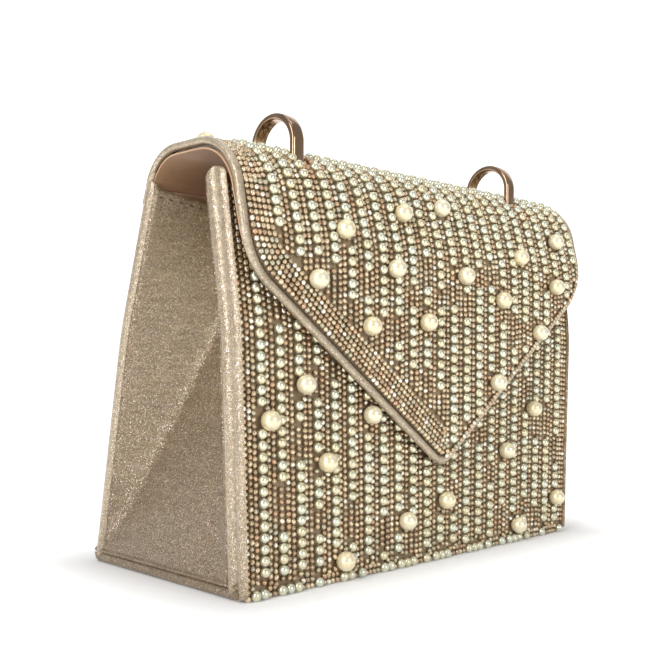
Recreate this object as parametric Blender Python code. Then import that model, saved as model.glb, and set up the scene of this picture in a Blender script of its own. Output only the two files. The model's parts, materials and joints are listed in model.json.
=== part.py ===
"""Beaded evening bag: a stiffened body with folded gussets, under a pointed flap with two strap rings.

+X runs to the bag's left-to-right width, -Y is the front, +Z is up, in metres.
The origin is on the floor, under the middle of the base.
Every side profile is a path in the YZ plane that runs up the rear, over the top and down the front,
so that the right-hand normal of each path points out of the bag.
"""

import math

import bmesh
import bpy
from mathutils import Vector

MM = 0.001

# Overall body
BASE_WIDTH = 190 * MM
TOP_WIDTH = 202 * MM
BASE_DEPTH = 85.5 * MM
BASE_AHEAD = -1.25 * MM
FRONT_TOP_HEIGHT = 134 * MM
FRONT_TOP_SETBACK = 5.3 * MM
FRONT_BEND_HEIGHT = 88 * MM
FRONT_BEND_RADIUS = 120 * MM
REAR_BEND_HEIGHT = 87 * MM
REAR_BEND_SETBACK = 21.5 * MM
REAR_BEND_RADIUS = 150 * MM
HINGE_RISE = 3 * MM
HINGE_SETBACK = 40.2 * MM

# Layers, from the outside in
GAP = 0.3 * MM
SEED_BEADS = 2.0 * MM
BEADWORK = 3.4 * MM
COVER = 1.2 * MM
BODY_BOARD = 2.0 * MM
BODY_LINING = 0.8 * MM
FLAP_BOARD = 1.2 * MM
FLAP_LINING = 0.5 * MM

# Base
BASE_COVER = 1.2 * MM
BASE_BOARD = 2.0 * MM
BASE_LINING = 0.6 * MM

# Bindings on the edges of the body
BINDING = 2.7 * MM
FRONT_BINDING_DEPTH = 7 * MM
FRONT_BINDING_STAND = 3.2 * MM
REAR_BINDING_DEPTH = 4.5 * MM
TOP_BINDING_HEIGHT = 4.0 * MM
BASE_BINDING_HEIGHT = 3.6 * MM

# Gussets, each folded in along a centre crease that splits into two at a node
GUSSET_CLOTH = 1.6 * MM
GUSSET_LINING = 1.0 * MM
GUSSET_RECESS = 0.6 * MM
GUSSET_NODE_HEIGHT = 85 * MM
GUSSET_NODE_FOLD = 28 * MM
GUSSET_TOP_FOLD = 37 * MM
GUSSET_TOP_DROP = 1.5 * MM
GUSSET_CREASE_DROP = 5 * MM

# Flap
FLAP_END_SETBACK = 0.5 * MM
FLAP_CLEARANCE = 0.8 * MM
FLAP_RISE = 14.5 * MM
FLAP_FRONT_BEND_SETBACK = 8.8 * MM
FLAP_SLOPE_DROP = 32.5 * MM
FLAP_REAR_RADIUS = 15 * MM
FLAP_REAR_STRAIGHT = 1.2 * MM
FLAP_FRONT_RADIUS = 20 * MM
FLAP_SLOPE_RADIUS = 60 * MM
FLAP_SHOULDER_DROP = 40.5 * MM
FLAP_SHOULDER_RADIUS = 26 * MM
FLAP_TIP_HEIGHT = 35.5 * MM
FLAP_TIP_RADIUS = 9 * MM
FLAP_TIP_FLAT = 1.0 * MM
FLAP_HINGE_GAP = 0.6 * MM
HINGE_STAND = 0.4 * MM
PIPING_RADIUS = 1.7 * MM

# Strap rings, each a closed band that passes through two slots in the flap
RING_END_SETBACK = 36.5 * MM
RING_SPAN = 23 * MM
RING_WIDTH = 5.6 * MM
RING_THICKNESS = 2.0 * MM
RING_RISE = 16 * MM
RING_DROP = 9.0 * MM
RING_SETBACK = 27.8 * MM
RING_CORNER_RADIUS = 3 * MM
RING_EDGE = 0.45 * MM
RING_SLOT_CLEARANCE = 0.4 * MM
TAB_LENGTH = 10 * MM
TAB_CLOTH = 1.0 * MM
TAB_FLANGE = 4 * MM

# Hidden closure magnets
MAGNET_RADIUS = 7 * MM
MAGNET_RISE = 21 * MM
MAGNET_CLEARANCE = 0.3 * MM

# Slip pocket on the rear lining
POCKET_WIDTH = 110 * MM
POCKET_LOW = 38 * MM
POCKET_HIGH = 102 * MM
POCKET_CLOTH = 1.2 * MM

# Columns of small pearls, which stand as ribs above the seed beads between them
RIB_PITCH = 8.15 * MM
RIB_WIDTH = 3.4 * MM
RIB_ROOT = 1.0 * MM
RIB_ROOT_SHARE = 0.4
RIB_END = 2 * MM
RIB_EDGE_MARGIN = 9 * MM

# Large pearls, as shares of the half width and of the height of what carries them
PEARL_RADIUS = 3.4 * MM
FLAP_PEARL_SHARES = (
    (-0.56, 0.81), (-0.70, 0.70), (-0.44, 0.60), (-0.31, 0.74), (-0.23, 0.87), (0.01, 0.90), (-0.13, 0.615),
    (0.10, 0.74), (0.35, 0.685), (0.62, 0.60), (0.49, 0.80), (0.80, 0.86), (0.75, 0.735), (0.315, 0.46),
)
FRONT_PEARL_SHARES = (
    (-0.875, 0.43), (-0.71, 0.515), (-0.61, 0.315), (-0.375, 0.43), (-0.525, 0.055), (-0.175, 0.13),
    (0.07, 0.17), (0.49, 0.295), (0.695, 0.42), (0.59, 0.055), (0.90, 0.12),
)

# Facets
ARC_STEPS = 6
RING_STEPS = 14
PEARL_SIDES = 10
PEARL_RINGS = 8
DISC_SIDES = 24
PIPING_RESOLUTION = 2

# The point of the flap's profile where its beadwork starts, the end of its rear bend
BEADS_START = ARC_STEPS + 1

# Sizes that follow from the body's, where the feet are the outer faces of the boards
FRONT_FOOT = BASE_DEPTH / 2 + BASE_AHEAD
REAR_FOOT = BASE_DEPTH / 2 - BASE_AHEAD
HINGE_HEIGHT = FRONT_TOP_HEIGHT + HINGE_RISE
FLAP_TOP_HEIGHT = FRONT_TOP_HEIGHT + FLAP_RISE
FLAP_SLOPE_HEIGHT = FLAP_TOP_HEIGHT - FLAP_SLOPE_DROP
FLAP_SHOULDER_HEIGHT = FLAP_TOP_HEIGHT - FLAP_SHOULDER_DROP
FLAP_WIDTH = TOP_WIDTH - 2 * FLAP_END_SETBACK
RING_SPACING = TOP_WIDTH - 2 * RING_END_SETBACK
MAGNET_HEIGHT = FLAP_TIP_HEIGHT + MAGNET_RISE

# Levels that several pieces share, measured outwards from the face of their board
BEADS_IN = GAP
SEEDS_OUT = GAP + SEED_BEADS
BEADS_OUT = GAP + BEADWORK
COVER_OUT = GAP + COVER
BODY_LINING_OUT = -BODY_BOARD - GAP
BODY_LINING_IN = BODY_LINING_OUT - BODY_LINING
FLAP_LINING_OUT = -FLAP_BOARD - GAP
FLAP_LINING_IN = FLAP_LINING_OUT - FLAP_LINING
FLAP_FRONT = FRONT_FOOT + BEADS_OUT + FLAP_CLEARANCE - FLAP_LINING_IN
PANEL_FOOT = BASE_COVER + GAP
PANEL_INSET = BINDING + GAP
FLAP_INSET = 2 * PIPING_RADIUS + GAP


def flat(*numbers):
    return Vector(numbers)


def rounded_path(corners, radii):
    """The polyline through the corners, with each inner corner turned into an arc of its radius."""
    points = [Vector(corners[0])]
    for before, corner, after, radius in zip(corners, corners[1:], corners[2:], radii):
        arriving = (Vector(corner) - Vector(before)).normalized()
        leaving = (Vector(after) - Vector(corner)).normalized()
        side = 1 if arriving.cross(leaving) > 0 else -1
        turn = arriving.angle(leaving)
        start = Vector(corner) - arriving * radius * math.tan(turn / 2)
        to_centre = flat(-arriving.y, arriving.x) * side * radius
        for step in range(ARC_STEPS + 1):
            angle = side * turn * step / ARC_STEPS
            cosine, sine = math.cos(angle), math.sin(angle)
            spoke = flat(
                -to_centre.x * cosine + to_centre.y * sine,
                -to_centre.x * sine - to_centre.y * cosine,
            )
            points.append(start + to_centre + spoke)
    points.append(Vector(corners[-1]))
    return points


def right_normal(start, end):
    along = (end - start).normalized()
    return flat(along.y, -along.x)


def path_normals(path):
    """At each point of a path, the mitred right-hand normal.

    An end that stands on the base is cut level.
    """
    sides = [right_normal(a, b) for a, b in zip(path, path[1:])]
    normals = [sides[0]]
    for first, second in zip(sides, sides[1:]):
        normals.append((first + second) / (1 + first.dot(second)))
    normals.append(sides[-1])
    for end in (0, -1):
        if math.isclose(path[end].y, PANEL_FOOT, rel_tol=1e-4):
            normals[end] = flat(1 / normals[end].x, 0)
    return normals


def offset_path(path, distance):
    return [point + normal * distance for point, normal in zip(path, path_normals(path))]


def at_height(path, height):
    """The point of a path at a height, and the outward normal there. The path rises or falls throughout."""
    for start, end in zip(path, path[1:]):
        low, high = sorted((start.y, end.y))
        if low <= height <= high and high > low:
            share = (height - start.y) / (end.y - start.y)
            return start.lerp(end, share), right_normal(start, end)
    raise ValueError("no point of the path is at that height")


def between_heights(path, low, high):
    """The stretch of a path between two heights, in the path's own direction."""
    inner = [point for point in path if low < point.y < high]
    ends = [at_height(path, low)[0], at_height(path, high)[0]]
    if path[0].y > path[-1].y:
        ends.reverse()
    return [ends[0], *inner, ends[1]]


def trimmed(path, at_start=0.0, at_end=0.0):
    """A path made shorter at its ends, within its first and last stretch."""
    points = [point.copy() for point in path]
    points[0] += (points[1] - points[0]).normalized() * at_start
    points[-1] += (points[-2] - points[-1]).normalized() * at_end
    return points


def make_material(name, colour, roughness, metallic):
    material = bpy.data.materials.new(name)
    material.use_nodes = True
    shader = material.node_tree.nodes["Principled BSDF"]
    shader.inputs["Base Color"].default_value = (*colour, 1)
    shader.inputs["Roughness"].default_value = roughness
    shader.inputs["Metallic"].default_value = metallic
    return material


def add_object(name, mesh, material):
    mesh.materials.append(material)
    made = bpy.data.objects.new(name, mesh)
    bpy.context.scene.collection.objects.link(made)
    return made


def mesh_from(name, vertices, faces):
    """A mesh with its faces pointing out."""
    shape = bmesh.new()
    corners = [shape.verts.new(vertex) for vertex in vertices]
    for face in faces:
        shape.faces.new([corners[index] for index in face])
    bmesh.ops.recalc_face_normals(shape, faces=shape.faces)
    mesh = bpy.data.meshes.new(name)
    shape.to_mesh(mesh)
    shape.free()
    return mesh


def sheet_skin(path, ends, inner, outer):
    """The vertices and faces of a sheet that follows a YZ path, between two levels and, at each point, two X values."""
    vertices, faces = [], []
    for low, high, (left, right) in zip(offset_path(path, inner), offset_path(path, outer), ends):
        vertices += [(left, *low), (right, *low), (right, *high), (left, *high)]
    for station in range(len(path) - 1):
        first = 4 * station
        for side in range(4):
            after = (side + 1) % 4
            faces.append((first + side, first + after, first + 4 + after, first + 4 + side))
    last = 4 * (len(path) - 1)
    faces += [(0, 1, 2, 3), (last + 3, last + 2, last + 1, last)]
    return vertices, faces


def swept_sheet(name, path, ends, inner, outer, material, across=False):
    """A sheet along a YZ path or, across, along an XZ path, where its ends are Y values."""
    vertices, faces = sheet_skin(path, ends, inner, outer)
    if across:
        vertices = [(y, x, z) for x, y, z in vertices]
    return add_object(name, mesh_from(name, vertices, faces), material)


def box(name, low, high, material):
    path = [flat(low[1], low[2]), flat(low[1], high[2])]
    width = [(low[0], high[0])] * len(path)
    return swept_sheet(name, path, width, 0, high[1] - low[1], material)


def disc(name, centre, radius, thickness, material):
    """A disc whose axis is Y, and whose front face is at the centre's Y."""
    shape = bmesh.new()
    bmesh.ops.create_cone(
        shape, cap_ends=True, segments=DISC_SIDES, radius1=radius, radius2=radius, depth=thickness
    )
    turn = Vector((0, 1, 0)).to_track_quat("Z", "X").to_matrix().to_4x4()
    bmesh.ops.transform(shape, matrix=turn, verts=shape.verts)
    bmesh.ops.translate(shape, vec=(centre[0], centre[1] + thickness / 2, centre[2]), verts=shape.verts)
    mesh = bpy.data.meshes.new(name)
    shape.to_mesh(mesh)
    shape.free()
    return add_object(name, mesh, material)


def combine(target, tool, operation):
    """Cuts a tool object out of the target, or joins it on, with a Boolean modifier."""
    tool.hide_render = True
    tool.display_type = "WIRE"
    modifier = target.modifiers.new(tool.name, "BOOLEAN")
    modifier.object = tool
    modifier.operation = operation


def cut(target, cutter):
    combine(target, cutter, "DIFFERENCE")


def straight_rib_skin(path, left, right):
    """The vertices and faces of a rib of even width. The corners of its root lie off those of its top."""
    inner = [start.lerp(end, RIB_ROOT_SHARE) for start, end in zip(path, path[1:])]
    root = offset_path([path[0], *inner, path[-1]], SEEDS_OUT - RIB_ROOT)
    border = [*root, *reversed(offset_path(path, BEADS_OUT))]
    count = len(border)
    vertices = [(x, *point) for x in (left, right) for point in border]
    faces = [range(count), range(count, 2 * count)]
    for first in range(count):
        after = (first + 1) % count
        faces.append((first, after, count + after, count + first))
    return vertices, faces


def raise_ribs(sheet, skins, material):
    """Joins ribs onto a sheet of beadwork. A skin is a rib's vertices and faces."""
    vertices, faces = [], []
    for corners, sides in skins:
        faces += [[len(vertices) + corner for corner in side] for side in sides]
        vertices += corners
    name = "ribs_" + sheet.name
    combine(sheet, add_object(name, mesh_from(name, vertices, faces), material), "UNION")


def rib_columns(reach):
    """The columns' X values, as many on each side as lie within a reach."""
    count = 2 * int((reach - RIB_WIDTH / 2) / RIB_PITCH + 0.5)
    return [(index - (count - 1) / 2) * RIB_PITCH for index in range(count)]


def half_width(height):
    return (BASE_WIDTH + (TOP_WIDTH - BASE_WIDTH) * height / FRONT_TOP_HEIGHT) / 2


def panel_ends(path, inset=0.0):
    return [(inset - half_width(point.y), half_width(point.y) - inset) for point in path]


def strip_ends(path, side):
    """The X values of an edge binding on the left, -1, or the right, 1."""
    return [
        tuple(sorted((side * half_width(point.y), side * (half_width(point.y) - BINDING)))) for point in path
    ]


def front_path():
    return rounded_path(
        [
            (FRONT_TOP_SETBACK - FRONT_FOOT, FRONT_TOP_HEIGHT),
            (-FRONT_FOOT, FRONT_BEND_HEIGHT),
            (-FRONT_FOOT, PANEL_FOOT),
        ],
        [FRONT_BEND_RADIUS],
    )


def hinge_point():
    return flat(REAR_FOOT - HINGE_SETBACK, HINGE_HEIGHT)


def rear_bend():
    return flat(REAR_FOOT - REAR_BEND_SETBACK, REAR_BEND_HEIGHT)


def flap_rear_bend():
    """Where the line of the rear's upper stretch reaches the flap's top, so that the flap goes on from the rear."""
    rise = hinge_point() - rear_bend()
    return hinge_point() + rise * (FLAP_TOP_HEIGHT - HINGE_HEIGHT) / rise.y


def rear_path():
    return rounded_path([flat(REAR_FOOT, PANEL_FOOT), rear_bend(), hinge_point()], [REAR_BEND_RADIUS])


def flap_rear_radius():
    """The rear bend's radius, which leaves a straight stretch between the hinge and the bend."""
    rise = flap_rear_bend() - hinge_point()
    room = rise.length - FLAP_HINGE_GAP - FLAP_REAR_STRAIGHT
    return min(FLAP_REAR_RADIUS, room / math.tan(rise.angle(flat(-1, 0)) / 2))


def flap_path():
    return rounded_path(
        [
            hinge_point(),
            flap_rear_bend(),
            (FLAP_FRONT_BEND_SETBACK - FLAP_FRONT, FLAP_TOP_HEIGHT),
            (-FLAP_FRONT, FLAP_SLOPE_HEIGHT),
            (-FLAP_FRONT, FLAP_TIP_HEIGHT - FLAP_TIP_RADIUS),
        ],
        [flap_rear_radius(), FLAP_FRONT_RADIUS, FLAP_SLOPE_RADIUS],
    )


def flap_fall():
    """The part of the flap's profile that falls from its top to its tip."""
    path = flap_path()
    top = max(range(len(path)), key=lambda index: (path[index].y, index))
    return path[top:]


def flap_outline(inset):
    """The flap's outline on its front, as X and Z, from its right shoulder to its left one."""
    start = FLAP_SHOULDER_HEIGHT + FLAP_SHOULDER_RADIUS
    half = FLAP_WIDTH / 2
    corners = [
        (half, start),
        (half, FLAP_SHOULDER_HEIGHT),
        (0, FLAP_TIP_HEIGHT),
        (-half, FLAP_SHOULDER_HEIGHT),
        (-half, start),
    ]
    return offset_path(
        rounded_path(corners, [FLAP_SHOULDER_RADIUS, FLAP_TIP_RADIUS, FLAP_SHOULDER_RADIUS]), inset
    )


def flap_stations(inset):
    """The flap's profile from hinge to tip and its X values, with the outline drawn in by the inset."""
    outline = [point for point in flap_outline(inset) if point.x > -FLAP_TIP_FLAT / 2]
    start = outline[0].y
    fall = flap_fall()
    path = flap_path()
    arch = path[: len(path) - len(fall)] + [point for point in fall if point.y > start]
    stations = trimmed(arch, at_start=FLAP_HINGE_GAP)
    ends = [(-outline[0].x, outline[0].x)] * len(stations)
    for point in outline:
        half = max(point.x, FLAP_TIP_FLAT)
        stations.append(at_height(fall, point.y)[0])
        ends.append((-half, half))
    return stations, ends


def front_ribs(front):
    """The front's columns of pearls, which spread with its width."""
    path = trimmed(front, RIB_END, RIB_END)
    ribs = []
    for column in rib_columns(half_width(0) - PANEL_INSET):
        middles = [column * half_width(point.y) / half_width(0) for point in path]
        ends = [(middle - RIB_WIDTH / 2, middle + RIB_WIDTH / 2) for middle in middles]
        ribs.append(sheet_skin(path, ends, SEEDS_OUT - RIB_ROOT, BEADS_OUT))
    return ribs


def flap_ribs():
    """The flap's columns of pearls, from its top down to the rows of seed beads along its edge."""
    outline = flap_outline(FLAP_INSET + RIB_EDGE_MARGIN)
    beaded = flap_path()[BEADS_START:]
    ribs = []
    for column in rib_columns(outline[0].x):
        foot = outline_height(outline, abs(column) + RIB_WIDTH / 2)
        path = [point for point in beaded if point.y > foot] + [at_height(flap_fall(), foot)[0]]
        path = trimmed(path, at_start=RIB_END)
        ribs.append(straight_rib_skin(path, column - RIB_WIDTH / 2, column + RIB_WIDTH / 2))
    return ribs


def outline_height(outline, x):
    """The height of the flap's outline at an X on its right half."""
    for start, end in zip(outline, outline[1:]):
        if end.x <= x <= start.x:
            return start.lerp(end, (start.x - x) / (start.x - end.x)).y
    raise ValueError("the outline doesn't reach that far")


def make_body(paint):
    front, rear = front_path(), rear_path()
    beadwork = swept_sheet(
        "front_beadwork", front, panel_ends(front, PANEL_INSET), BEADS_IN, SEEDS_OUT, paint["beads"]
    )
    raise_ribs(beadwork, front_ribs(front), paint["beads"])
    swept_sheet("rear_cover", rear, panel_ends(rear), GAP, COVER_OUT, paint["lame"])
    panels = (
        ("front", front, FRONT_BINDING_DEPTH, FRONT_BINDING_STAND),
        ("rear", rear, REAR_BINDING_DEPTH, 0),
    )
    for name, path, depth, stand in panels:
        inset = panel_ends(path, PANEL_INSET)
        swept_sheet(name + "_board", path, inset, -BODY_BOARD, 0, paint["board"])
        swept_sheet(name + "_lining", path, inset, BODY_LINING_IN, BODY_LINING_OUT, paint["lining"])
        for side, end in (("left", -1), ("right", 1)):
            swept_sheet(f"{name}_{side}_binding", path, strip_ends(path, end), -depth, stand, paint["lame"])
    rim = [front[0] + (front[0] - front[1]).normalized() * reach for reach in (GAP + TOP_BINDING_HEIGHT, GAP)]
    swept_sheet("front_top_binding", rim, panel_ends(rim), BODY_LINING_IN, 0, paint["lame"])

    pocket = between_heights(rear, POCKET_LOW, POCKET_HIGH)
    pocket_ends = [(-POCKET_WIDTH / 2, POCKET_WIDTH / 2)] * len(pocket)
    pocket_out = BODY_LINING_IN - GAP
    swept_sheet("slip_pocket", pocket, pocket_ends, pocket_out - POCKET_CLOTH, pocket_out, paint["lining"])


def make_base(paint):
    front, rear = front_path(), rear_path()
    cover = half_width(0)
    box(
        "base_cover",
        (-cover, -FRONT_FOOT - GAP, 0),
        (cover, REAR_FOOT + COVER_OUT, BASE_COVER),
        paint["lame"],
    )
    inside = half_width(0) - PANEL_INSET
    level = PANEL_FOOT
    layers = (("base_board", BASE_BOARD, "board"), ("base_lining", BASE_LINING, "lining"))
    for name, thickness, colour in layers:
        top = level + thickness
        back = offset_path(rear, BODY_LINING_IN - GAP)
        ahead = at_height(offset_path(front, BODY_LINING_IN - GAP), top)[0].x
        behind = at_height(back, top)[0].x
        box(name, (-inside, ahead, level), (inside, behind, top), paint[colour])
        level = top + GAP
    ahead = offset_path(front, -FRONT_BINDING_DEPTH - GAP)[-1].x
    top = PANEL_FOOT + BASE_BINDING_HEIGHT
    behind = at_height(offset_path(rear, -REAR_BINDING_DEPTH - GAP), top)[0].x
    for side, end in (("left", -1), ("right", 1)):
        edges = sorted((end * half_width(0), end * (half_width(0) - BINDING)))
        box(f"{side}_base_binding", (edges[0], ahead, PANEL_FOOT), (edges[1], behind, top), paint["lame"])


def gusset_points():
    """The corners of the left gusset's outer face: front edge, creases and rear edge."""
    front = offset_path(front_path(), -FRONT_BINDING_DEPTH - GAP)
    rear = offset_path(rear_path(), -REAR_BINDING_DEPTH - GAP)
    foot = PANEL_FOOT + BASE_BINDING_HEIGHT + GAP
    top = FRONT_TOP_HEIGHT - GUSSET_TOP_DROP
    crease_top = top - GUSSET_CREASE_DROP

    def on_edge(path, height):
        place = at_height(path, height)[0]
        return Vector((GUSSET_RECESS - half_width(height), place.x, place.y))

    def folded(height, fold):
        ahead, behind = on_edge(front, height), on_edge(rear, height)
        return (ahead + behind) / 2 + Vector((fold, 0, 0))

    return {
        "front_foot": on_edge(front, foot),
        "front_bend": on_edge(front, FRONT_BEND_HEIGHT),
        "front_top": on_edge(front, top),
        "node": folded(GUSSET_NODE_HEIGHT, GUSSET_NODE_FOLD),
        "crease_top": folded(crease_top, GUSSET_TOP_FOLD),
        "rear_foot": on_edge(rear, foot),
        "rear_bend": on_edge(rear, REAR_BEND_HEIGHT),
        "rear_top": on_edge(rear, top),
    }


GUSSET_FACETS = (
    ("front_foot", "node", "rear_foot"),
    ("front_foot", "front_bend", "node"),
    ("front_bend", "crease_top", "node"),
    ("front_bend", "front_top", "crease_top"),
    ("rear_foot", "node", "rear_bend"),
    ("rear_bend", "node", "crease_top"),
    ("rear_bend", "crease_top", "rear_top"),
)
GUSSET_RIM = ("front_foot", "front_bend", "front_top", "crease_top", "rear_top", "rear_bend", "rear_foot")


def gusset_sheet(name, outer, inner, side, material):
    """A sheet with the gusset's folds, between two depths behind its outer face, on the left, -1, or right, 1."""
    points = gusset_points()
    names = list(points)
    vertices = []
    for depth in (outer, inner):
        for corner in names:
            place = points[corner] + Vector((depth, 0, 0))
            vertices.append((-side * place.x, place.y, place.z))
    at = {corner: index for index, corner in enumerate(names)}
    count = len(names)
    faces = []
    for facet in GUSSET_FACETS:
        faces.append([at[corner] for corner in facet])
        faces.append([at[corner] + count for corner in reversed(facet)])
    for start, end in zip(GUSSET_RIM, GUSSET_RIM[1:] + GUSSET_RIM[:1]):
        faces.append((at[start], at[end], at[end] + count, at[start] + count))
    return add_object(name, mesh_from(name, vertices, faces), material)


def make_gussets(paint):
    lining = GUSSET_CLOTH + GAP
    for name, side in (("left", -1), ("right", 1)):
        gusset_sheet(name + "_gusset", 0, GUSSET_CLOTH, side, paint["lame"])
        gusset_sheet(name + "_gusset_lining", lining, lining + GUSSET_LINING, side, paint["lining"])


def make_piping(paint):
    """The round edge of the flap, from its left hinge end round the tip to its right one."""
    outline = flap_outline(PIPING_RADIUS)
    fall = flap_fall()
    path = flap_path()
    arch = path[: len(path) - len(fall)] + [point for point in fall if point.y > outline[0].y]
    arch = trimmed(arch, at_start=FLAP_HINGE_GAP)
    edge = FLAP_WIDTH / 2 - PIPING_RADIUS
    route = [(edge, *point) for point in arch]
    route += [(point.x, *at_height(fall, point.y)[0]) for point in outline]
    route += [(-edge, *point) for point in reversed(arch)]

    curve = bpy.data.curves.new("flap_piping", "CURVE")
    curve.dimensions = "3D"
    curve.bevel_depth = PIPING_RADIUS
    curve.bevel_resolution = PIPING_RESOLUTION
    curve.use_fill_caps = True
    spline = curve.splines.new("POLY")
    spline.points.add(len(route) - 1)
    for point, place in zip(spline.points, route):
        point.co = (*place, 1)
    return add_object("flap_piping", curve, paint["lame"])


def ring_loop(grow):
    """A ring's band as a closed YZ outline, drawn out by an amount from its inner face."""
    centre = hinge_point().x - RING_SETBACK
    half = RING_SPAN / 2 - RING_THICKNESS + grow
    crown = FLAP_TOP_HEIGHT + RING_RISE - RING_SPAN / 2
    foot = FLAP_TOP_HEIGHT - RING_DROP + RING_THICKNESS - grow
    corner = RING_CORNER_RADIUS - RING_THICKNESS + grow
    points = []
    for step in range(RING_STEPS + 1):
        angle = math.pi * step / RING_STEPS
        points.append(flat(centre + half * math.cos(angle), crown + half * math.sin(angle)))
    for turn, end in ((1.0, -1), (1.5, 1)):
        for step in range(ARC_STEPS // 2 + 1):
            angle = math.pi * (turn + step / ARC_STEPS)
            points.append(
                flat(
                    centre + end * (half - corner) + corner * math.cos(angle),
                    foot + corner + corner * math.sin(angle),
                )
            )
    return points


def make_ring(name, middle, material):
    outer, inner = ring_loop(RING_THICKNESS), ring_loop(0)
    count = len(outer)
    vertices, faces = [], []
    for x in (middle - RING_WIDTH / 2, middle + RING_WIDTH / 2):
        for loop in (outer, inner):
            vertices += [(x, *point) for point in loop]
    for index in range(count):
        after = (index + 1) % count
        near, far = (0, count), (2 * count, 3 * count)
        for start, end in ((near[0], near[1]), (far[1], far[0]), (near[1], far[1]), (far[0], near[0])):
            faces.append((start + index, start + after, end + after, end + index))
    ring = add_object(name, mesh_from(name, vertices, faces), material)
    bevel = ring.modifiers.new("rounded edges", "BEVEL")
    bevel.width = RING_EDGE
    bevel.segments = 1
    return ring


def make_rings(paint, slotted):
    """The strap rings, the slots they pass through and the cloth tabs that hold them under the flap."""
    centre = hinge_point().x - RING_SETBACK
    lining = offset_path(flap_path(), FLAP_LINING_IN)
    tab_top = min(under_arch(lining, centre + end * TAB_LENGTH / 2) for end in (-1, 1)) - GAP
    side_of_tab = RING_WIDTH / 2 + GAP
    bar_low = FLAP_TOP_HEIGHT - RING_DROP
    leg = RING_SPAN / 2 - RING_THICKNESS / 2
    clear = RING_SLOT_CLEARANCE
    for name, side in (("left", -1), ("right", 1)):
        middle = side * RING_SPACING / 2
        make_ring(name + "_ring", middle, paint["gold"])
        for place, end in (("front", -1), ("rear", 1)):
            y = centre + end * leg
            half_x, half_y = RING_WIDTH / 2 + clear, RING_THICKNESS / 2 + clear
            cutter = box(
                f"slot_{name}_{place}",
                (middle - half_x, y - half_y, bar_low),
                (middle + half_x, y + half_y, FLAP_TOP_HEIGHT + RING_RISE),
                paint["board"],
            )
            for target in slotted:
                cut(target, cutter)
        flange = side_of_tab + TAB_CLOTH + TAB_FLANGE
        sling = [
            flat(middle - flange, tab_top),
            flat(middle - side_of_tab, tab_top),
            flat(middle - side_of_tab, bar_low - GAP),
            flat(middle + side_of_tab, bar_low - GAP),
            flat(middle + side_of_tab, tab_top),
            flat(middle + flange, tab_top),
        ]
        ends = [(centre - TAB_LENGTH / 2, centre + TAB_LENGTH / 2)] * len(sling)
        swept_sheet(name + "_ring_tab", sling, ends, 0, TAB_CLOTH, paint["lining"], across=True)


def under_arch(path, y):
    """The height of a path's arch at a Y."""
    for start, end in zip(path, path[1:]):
        if end.x <= y <= start.x:
            share = (y - start.x) / (end.x - start.x)
            return start.lerp(end, share).y
    raise ValueError("the arch doesn't reach that far")


def make_magnets(paint, front_board, flap_board):
    """A magnet let through each board, under the flap's point."""
    thickness = {"front": BODY_BOARD, "flap": FLAP_BOARD}
    face = {"front": -FRONT_FOOT, "flap": -FLAP_FRONT}
    for name, board in (("front", front_board), ("flap", flap_board)):
        centre = (0, face[name], MAGNET_HEIGHT)
        disc(name + "_magnet", centre, MAGNET_RADIUS, thickness[name], paint["magnet"])
        through = (0, face[name] - thickness[name], MAGNET_HEIGHT)
        hole = disc(
            f"hole_{name}", through, MAGNET_RADIUS + MAGNET_CLEARANCE, 3 * thickness[name], paint["magnet"]
        )
        cut(board, hole)


def make_flap(paint):
    """The flap's layers that the rings pass through, and the plain cover between the hinge and the beadwork."""
    stations, ends = flap_stations(FLAP_INSET)
    plain = trimmed(stations[: BEADS_START + 1], at_end=GAP / 2)
    swept_sheet("flap_rear_cover", plain, ends, GAP, COVER_OUT, paint["lame"])
    beaded = trimmed(stations[BEADS_START:], at_start=GAP / 2)
    beadwork = swept_sheet("flap_beadwork", beaded, ends[BEADS_START:], BEADS_IN, SEEDS_OUT, paint["beads"])
    raise_ribs(beadwork, flap_ribs(), paint["beads"])
    board = swept_sheet("flap_board", stations, ends, -FLAP_BOARD, 0, paint["board"])
    lining = swept_sheet("flap_lining", stations, ends, FLAP_LINING_IN, FLAP_LINING_OUT, paint["lining"])
    return beadwork, board, lining


def pearl_mesh():
    """A round pearl with the flat back that it sits on, which is level with the top of the small beads."""
    shape = bmesh.new()
    bmesh.ops.create_uvsphere(shape, u_segments=PEARL_SIDES, v_segments=PEARL_RINGS, radius=PEARL_RADIUS)
    seat = BEADS_OUT + GAP - PEARL_RADIUS
    whole = shape.verts[:] + shape.edges[:] + shape.faces[:]
    bmesh.ops.bisect_plane(shape, geom=whole, plane_co=(0, 0, seat), plane_no=(0, 0, -1), clear_outer=True)
    bmesh.ops.holes_fill(shape, edges=[edge for edge in shape.edges if edge.is_boundary])
    bmesh.ops.recalc_face_normals(shape, faces=shape.faces)
    mesh = bpy.data.meshes.new("pearl")
    shape.to_mesh(mesh)
    shape.free()
    mesh.shade_smooth()
    return mesh


def make_pearls(paint):
    mesh = pearl_mesh()
    mesh.materials.append(paint["pearl"])
    fall, front = flap_fall(), front_path()
    groups = (
        ("flap", FLAP_PEARL_SHARES, fall, FLAP_TOP_HEIGHT, lambda height: FLAP_WIDTH / 2),
        ("front", FRONT_PEARL_SHARES, front, FRONT_TOP_HEIGHT, half_width),
    )
    for name, places, path, full_height, half in groups:
        for number, (across, up) in enumerate(places, 1):
            height = up * full_height
            place, normal = at_height(path, height)
            seat = place + normal * PEARL_RADIUS
            pearl = bpy.data.objects.new(f"{name}_pearl_{number:02d}", mesh)
            bpy.context.scene.collection.objects.link(pearl)
            pearl.location = (across * half(height), *seat)
            pearl.rotation_mode = "QUATERNION"
            pearl.rotation_quaternion = Vector((0, *normal)).to_track_quat("Z", "Y")


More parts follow.
